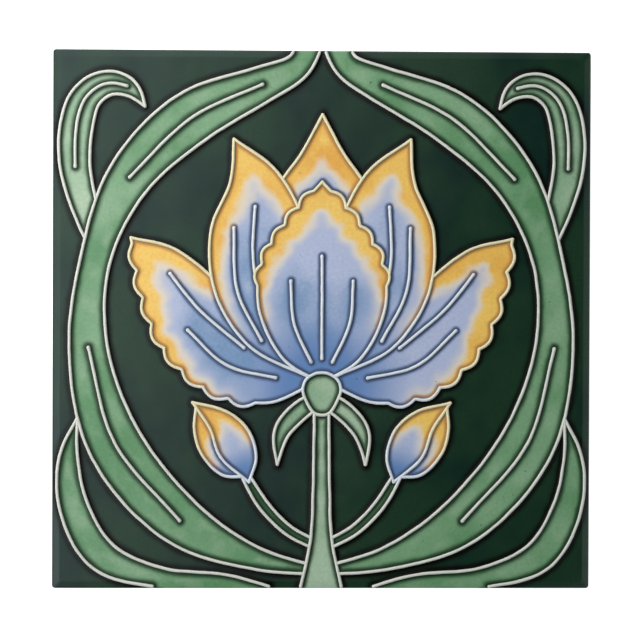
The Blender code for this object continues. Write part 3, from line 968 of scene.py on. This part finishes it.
def light_the_stage():
    """A pale floor, a soft room that is bright on the upper left, and a soft lamp from there."""
    bpy.ops.object.select_all(action="DESELECT")
    bpy.ops.mesh.primitive_plane_add(size=6, location=(0, 0, -0.0001))
    floor = bpy.context.object
    floor.name = "floor"
    paint, sheet, shader = new_material("pale_floor")
    shader.inputs["Base Color"].default_value = (0.45, 0.45, 0.45, 1)
    shader.inputs["Roughness"].default_value = 0.9
    shader.inputs["Specular IOR Level"].default_value = 0.1
    shader.inputs["Emission Color"].default_value = (1, 1, 1, 1)
    shader.inputs["Emission Strength"].default_value = 0.86
    floor.data.materials.append(paint)

    room = bpy.data.worlds.new("soft_room")
    bpy.context.scene.world = room
    room.use_nodes = True
    sheet = Sheet(room.node_tree)
    direction = sheet.put("ShaderNodeTexCoord").outputs["Generated"]
    side = sheet.put("ShaderNodeVectorMath", {0: direction, 1: (-0.96, 0.28, 0.0)}, operation="DOT_PRODUCT")
    spread = sheet.math("MULTIPLY_ADD", side.outputs["Value"], 0.5, 0.5)
    ramp = sheet.put("ShaderNodeValToRGB", {0: spread})
    stops = (
        (0.0, 0.28), (0.24, 0.32), (0.38, 0.01), (0.45, 0.01),
        (0.55, 0.38), (0.60, 0.66), (0.67, 0.74), (0.76, 0.46), (1.0, 0.26),
    )
    for position, level in stops[1:-1]:
        ramp.color_ramp.elements.new(position)
    for element, (position, level) in zip(ramp.color_ramp.elements, stops):
        element.position = position
        element.color = (level * 0.86, level * 0.97, level, 1)
    glow = room.node_tree.nodes["Background"]
    backdrop = sheet.put("ShaderNodeLightPath").outputs["Is Camera Ray"]
    colour = sheet.blend(backdrop, ramp.outputs[0], (1 / ROOM_LIGHT, 1 / ROOM_LIGHT, 1 / ROOM_LIGHT))
    glow.inputs["Strength"].default_value = ROOM_LIGHT
    room.node_tree.links.new(colour, glow.inputs["Color"])

    lamp = bpy.data.objects.new("soft_lamp", bpy.data.lights.new("soft_lamp", "AREA"))
    bpy.context.scene.collection.objects.link(lamp)
    lamp.location = (-0.25, 0.14, 0.21)
    lamp.rotation_euler = (Vector((0, 0, 0)) - Vector(lamp.location)).to_track_quat("-Z", "Y").to_euler()
    lamp.data.shape = "RECTANGLE"
    lamp.data.size = 0.42
    lamp.data.size_y = 0.16
    lamp.data.energy = LAMP_WATTS
    lamp.data.color = (1.0, 0.97, 0.92)
    lamp.visible_camera = False
    lamp.visible_glossy = False


def set_camera():
    """Straight above the tile, with the photo's slight turn."""
    camera = bpy.data.objects.new("camera", bpy.data.cameras.new("camera"))
    bpy.context.scene.collection.objects.link(camera)
    camera.location = (-0.00828, 0.00208, 0.43943)
    camera.rotation_euler = [math.radians(angle) for angle in (-0.364, -1.099, 0.211)]
    camera.data.lens = 85
    camera.data.sensor_width = 36
    camera.data.clip_start = 0.01
    bpy.context.scene.camera = camera
    bpy.context.scene.view_settings.view_transform = "Standard"


shapes = drawing()
line_list = slip_lines(shapes)
line_points = []
for points, ring, starts_free, ends_free in line_list:
    line_points += between(points + points[:1] if ring else points)
line_tree = tree_of(line_points)

groups = {
    "patchy": patchy_glaze_group(),
    "pooled": pooled_at_lines_group(),
    "specks": kiln_specks_group(),
    "skin": glaze_skin_group(),
}
ground_glaze = brushed_glaze(
    "bottle_green_glaze", groups, BOTTLE_GREEN, BOTTLE_GREEN_THIN, BOTTLE_GREEN_THIN, 0.15, BOTTLE_GREEN_POOL, 1.32, 0.0
)
leaf_glaze = brushed_glaze(
    "leaf_green_glaze", groups, LEAF_GREEN_DEEP, LEAF_GREEN, LEAF_GREEN_THIN, 0.55, LEAF_GREEN_POOL, 1.20, 0.25
)
tip_glaze = brushed_glaze(
    "pale_green_glaze", groups, TIP_GREEN_DEEP, TIP_GREEN, TIP_GREEN, 0.5, LEAF_GREEN_POOL, 1.10, 0.16
)

tile_body = press_body()
lay_face(tile_body, line_tree)
for material in (ground_glaze, leaf_glaze, tip_glaze, petal_glaze(groups), biscuit_material()):
    tile_body.data.materials.append(material)
glaze_face(tile_body, shapes, line_tree)
hold(tile_body)
bpy.ops.object.shade_smooth_by_angle(angle=math.radians(40))

slip = trail_slip(line_list)
slip.data.materials.append(slip_material())
note_slip(slip, shapes)

for piece in (tile_body, slip):
    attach(piece, "root")
    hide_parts("tile")

light_the_stage()
set_camera()
